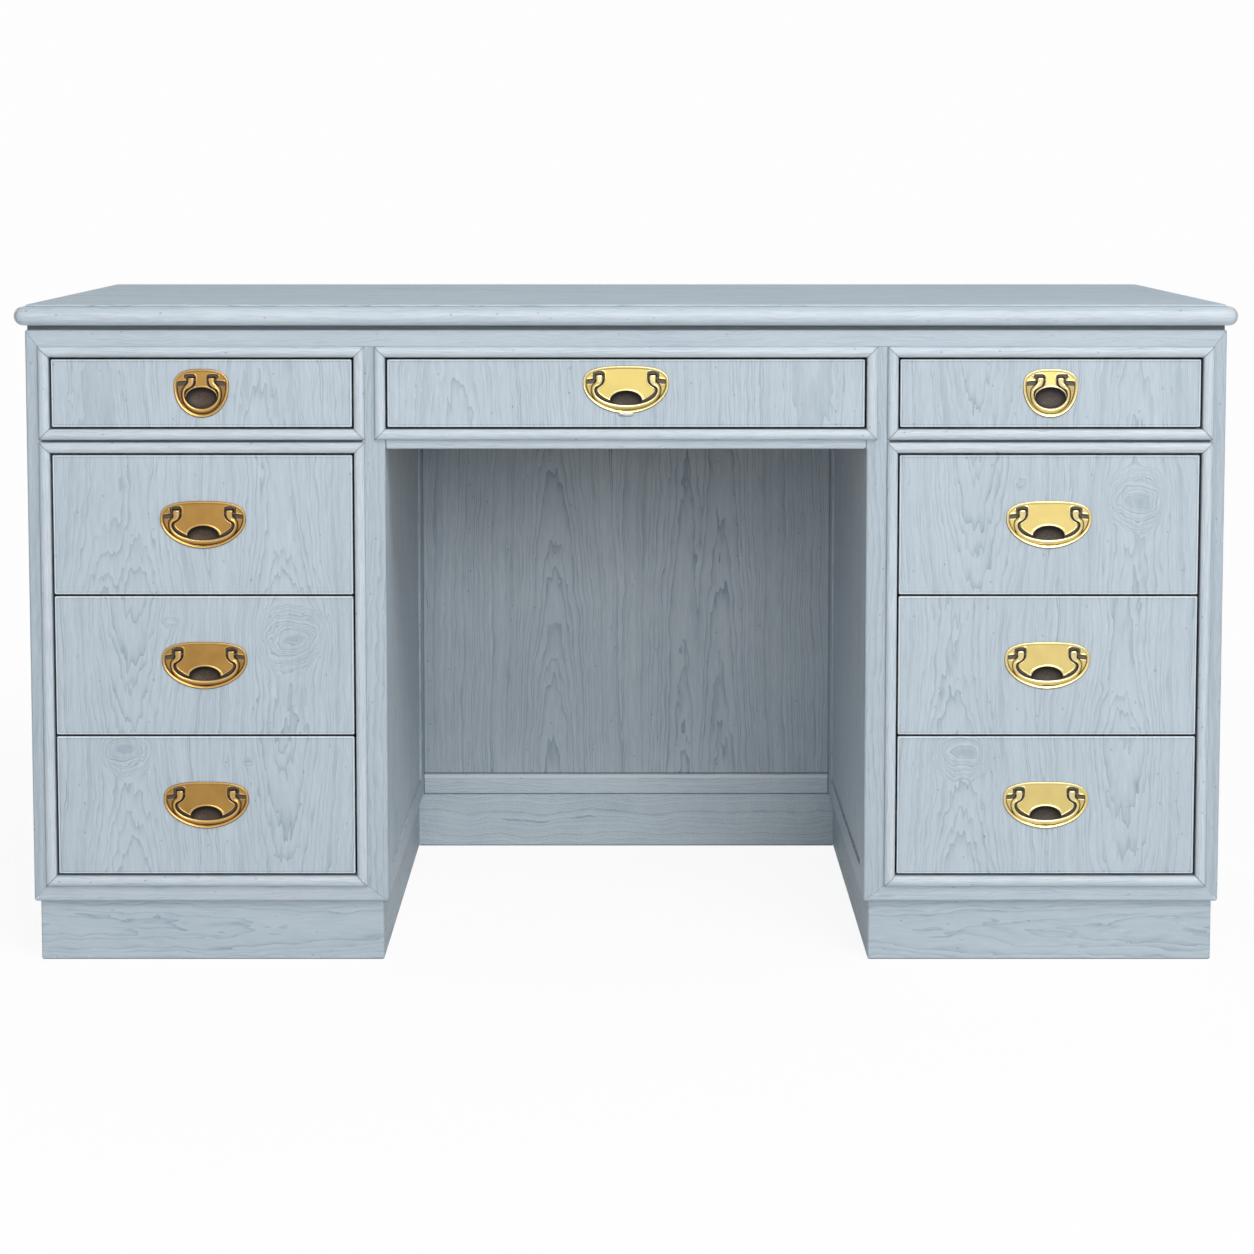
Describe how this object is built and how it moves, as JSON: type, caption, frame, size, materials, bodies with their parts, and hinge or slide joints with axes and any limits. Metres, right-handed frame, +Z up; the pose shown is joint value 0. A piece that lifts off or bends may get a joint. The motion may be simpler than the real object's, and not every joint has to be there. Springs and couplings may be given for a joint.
{
  "type": "kneehole pedestal desk",
  "caption": "Kneehole pedestal writing desk in pale limed oak with beaded drawer fronts and recessed brass bail pulls.",
  "frame": {"origin": "on the floor, under the middle of the desk's bounding box", "axes": "+X to the sitter's right along the desk, +Y away from the sitter, +Z up"},
  "size_m": [1.4, 0.66, 0.765],
  "materials": {
    "limed_oak": "blue-grey painted and limed oak, satin",
    "drawer_lining_oak": "planed oak, oiled",
    "antique_brass": "cast, aged and waxed",
    "bright_brass": "cast, satin lacquered",
    "steel": "zinc plated"
  },
  "bodies": {
    "case": {"desk_top": "limed_oak", "top_edge_moulding": "limed_oak", "top_reveal_frame": "limed_oak", "top_fixing_screws": "steel", "front_posts": "limed_oak", "frieze_rail": "limed_oak", "bottom_rails": "limed_oak", "middle_rails": "limed_oak", "kneehole_apron": "limed_oak", "top_row_beads": "limed_oak", "left_bank_beads": "limed_oak", "right_bank_beads": "limed_oak", "left_outer_side": "limed_oak", "right_outer_side": "limed_oak", "left_inner_side": "limed_oak", "right_inner_side": "limed_oak", "pedestal_backs": "limed_oak", "modesty_rails": "limed_oak", "modesty_panel": "limed_oak", "inside_boards": "drawer_lining_oak", "left_plinth": "limed_oak", "right_plinth": "limed_oak", "kneehole_plinth": "limed_oak", "drawer_runners": "drawer_lining_oak"},
    "centre_drawer": {"centre_drawer_front": "limed_oak", "centre_drawer_box": "drawer_lining_oak", "centre_pull_plate": "bright_brass"},
    "centre_bail": {"centre_bail": "bright_brass"},
    "left_top_drawer": {"left_top_drawer_front": "limed_oak", "left_top_drawer_box": "drawer_lining_oak", "left_top_pull_plate": "antique_brass"},
    "left_top_bail": {"left_top_bail": "antique_brass"},
    "left_lower_drawer": {"left_lower_drawer_front": "limed_oak", "left_lower_drawer_box": "drawer_lining_oak", "left_lower_pull_plate": "antique_brass"},
    "left_lower_bail": {"left_lower_bail": "antique_brass"},
    "left_middle_drawer": {"left_middle_drawer_front": "limed_oak", "left_middle_drawer_box": "drawer_lining_oak", "left_middle_pull_plate": "antique_brass"},
    "left_middle_bail": {"left_middle_bail": "antique_brass"},
    "left_upper_drawer": {"left_upper_drawer_front": "limed_oak", "left_upper_drawer_box": "drawer_lining_oak", "left_upper_pull_plate": "antique_brass"},
    "left_upper_bail": {"left_upper_bail": "antique_brass"},
    "right_top_drawer": {"right_top_drawer_front": "limed_oak", "right_top_drawer_box": "drawer_lining_oak", "right_top_pull_plate": "bright_brass"},
    "right_top_bail": {"right_top_bail": "bright_brass"},
    "right_lower_drawer": {"right_lower_drawer_front": "limed_oak", "right_lower_drawer_box": "drawer_lining_oak", "right_lower_pull_plate": "bright_brass"},
    "right_lower_bail": {"right_lower_bail": "bright_brass"},
    "right_middle_drawer": {"right_middle_drawer_front": "limed_oak", "right_middle_drawer_box": "drawer_lining_oak", "right_middle_pull_plate": "bright_brass"},
    "right_middle_bail": {"right_middle_bail": "bright_brass"},
    "right_upper_drawer": {"right_upper_drawer_front": "limed_oak", "right_upper_drawer_box": "drawer_lining_oak", "right_upper_pull_plate": "bright_brass"},
    "right_upper_bail": {"right_upper_bail": "bright_brass"}
  },
  "joints": [
    {"name": "centre_drawer_slide", "type": "slide", "parent": "case", "child": "centre_drawer", "axis": [0, -1, 0], "range_m": [0, 0.42]},
    {"name": "centre_bail_swing", "type": "hinge", "parent": "centre_drawer", "child": "centre_bail", "pos_m": [0, -0.3176, 0.68025], "axis": [-1, 0, 0], "range_deg": [0, 90]},
    {"name": "left_top_drawer_slide", "type": "slide", "parent": "case", "child": "left_top_drawer", "axis": [0, -1, 0], "range_m": [0, 0.42]},
    {"name": "left_top_bail_swing", "type": "hinge", "parent": "left_top_drawer", "child": "left_top_bail", "pos_m": [-0.4865, -0.3176, 0.67825], "axis": [-1, 0, 0], "range_deg": [0, 90]},
    {"name": "left_lower_drawer_slide", "type": "slide", "parent": "case", "child": "left_lower_drawer", "axis": [0, -1, 0], "range_m": [0, 0.42]},
    {"name": "left_lower_bail_swing", "type": "hinge", "parent": "left_lower_drawer", "child": "left_lower_bail", "pos_m": [-0.4865, -0.3176, 0.19747], "axis": [-1, 0, 0], "range_deg": [0, 90]},
    {"name": "left_middle_drawer_slide", "type": "slide", "parent": "case", "child": "left_middle_drawer", "axis": [0, -1, 0], "range_m": [0, 0.42]},
    {"name": "left_middle_bail_swing", "type": "hinge", "parent": "left_middle_drawer", "child": "left_middle_bail", "pos_m": [-0.4865, -0.3176, 0.361], "axis": [-1, 0, 0], "range_deg": [0, 90]},
    {"name": "left_upper_drawer_slide", "type": "slide", "parent": "case", "child": "left_upper_drawer", "axis": [0, -1, 0], "range_m": [0, 0.42]},
    {"name": "left_upper_bail_swing", "type": "hinge", "parent": "left_upper_drawer", "child": "left_upper_bail", "pos_m": [-0.4865, -0.3176, 0.52453], "axis": [-1, 0, 0], "range_deg": [0, 90]},
    {"name": "right_top_drawer_slide", "type": "slide", "parent": "case", "child": "right_top_drawer", "axis": [0, -1, 0], "range_m": [0, 0.42]},
    {"name": "right_top_bail_swing", "type": "hinge", "parent": "right_top_drawer", "child": "right_top_bail", "pos_m": [0.4865, -0.3176, 0.67825], "axis": [-1, 0, 0], "range_deg": [0, 90]},
    {"name": "right_lower_drawer_slide", "type": "slide", "parent": "case", "child": "right_lower_drawer", "axis": [0, -1, 0], "range_m": [0, 0.42]},
    {"name": "right_lower_bail_swing", "type": "hinge", "parent": "right_lower_drawer", "child": "right_lower_bail", "pos_m": [0.4865, -0.3176, 0.19747], "axis": [-1, 0, 0], "range_deg": [0, 90]},
    {"name": "right_middle_drawer_slide", "type": "slide", "parent": "case", "child": "right_middle_drawer", "axis": [0, -1, 0], "range_m": [0, 0.42]},
    {"name": "right_middle_bail_swing", "type": "hinge", "parent": "right_middle_drawer", "child": "right_middle_bail", "pos_m": [0.4865, -0.3176, 0.361], "axis": [-1, 0, 0], "range_deg": [0, 90]},
    {"name": "right_upper_drawer_slide", "type": "slide", "parent": "case", "child": "right_upper_drawer", "axis": [0, -1, 0], "range_m": [0, 0.42]},
    {"name": "right_upper_bail_swing", "type": "hinge", "parent": "right_upper_drawer", "child": "right_upper_bail", "pos_m": [0.4865, -0.3176, 0.52453], "axis": [-1, 0, 0], "range_deg": [0, 90]}
  ]
}
